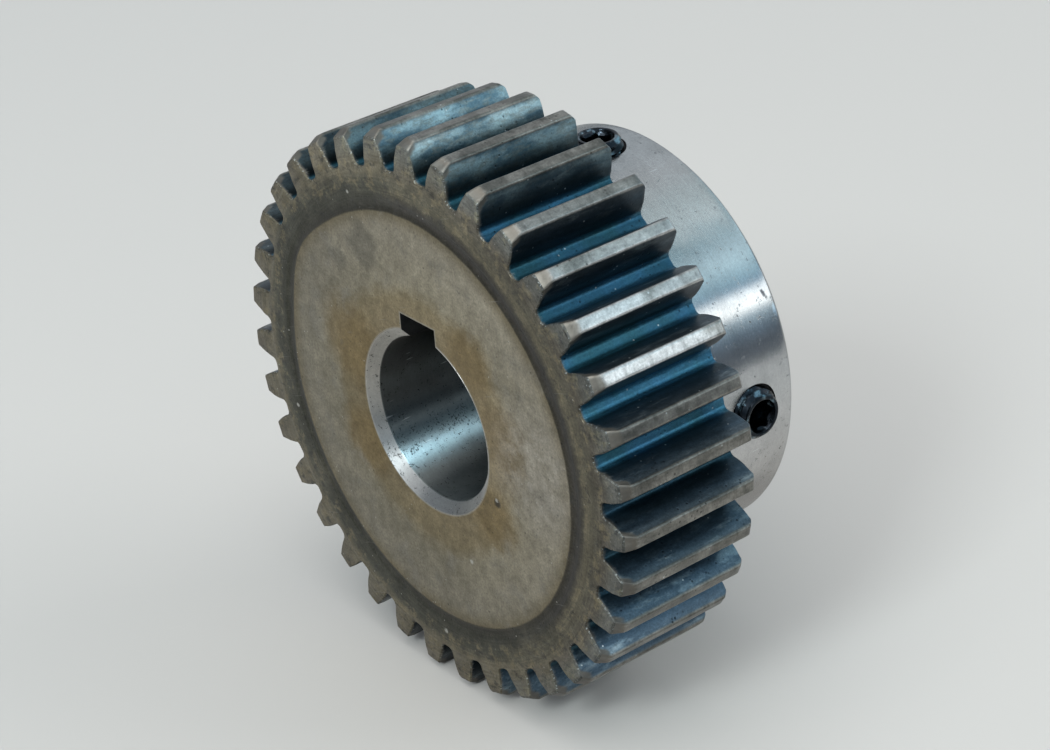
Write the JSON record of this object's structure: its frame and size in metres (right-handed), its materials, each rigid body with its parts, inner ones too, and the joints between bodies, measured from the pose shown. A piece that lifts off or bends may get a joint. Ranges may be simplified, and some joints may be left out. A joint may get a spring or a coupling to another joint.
{
  "type": "spur gear with hub and set screws",
  "caption": "Straight-toothed steel spur gear with a one-sided hub, keyed bore, bevelled tooth ends and radial set screws in the hub.",
  "frame": {"origin": "on the bore's axis, halfway between the front face of the teeth and the end of the hub", "axes": "+Y along the bore from the toothed face to the hub's end, +Z from the bore's axis to the middle of the keyway and of one tooth, +X towards the side set screw"},
  "size_m": [0.0554, 0.027, 0.0554],
  "materials": {
    "gear_steel": "machined steel, satin on the hub and in the bore, with brown and blue heat tint on the rim and teeth",
    "black_oxide": "oiled black oxide on alloy steel"
  },
  "bodies": {
    "gear": {"gear_body": "gear_steel"},
    "keyway_screw": {"set_screw_over_keyway": "black_oxide"},
    "side_screw": {"set_screw_at_side": "black_oxide"}
  },
  "joints": [
    {"name": "keyway_screw_travel", "type": "slide", "parent": "gear", "child": "keyway_screw", "axis": [0, 0, 1], "range_m": [-0.003, 0.004]},
    {"name": "side_screw_travel", "type": "slide", "parent": "gear", "child": "side_screw", "axis": [1, 0, 0], "range_m": [-0.005, 0.004]}
  ]
}
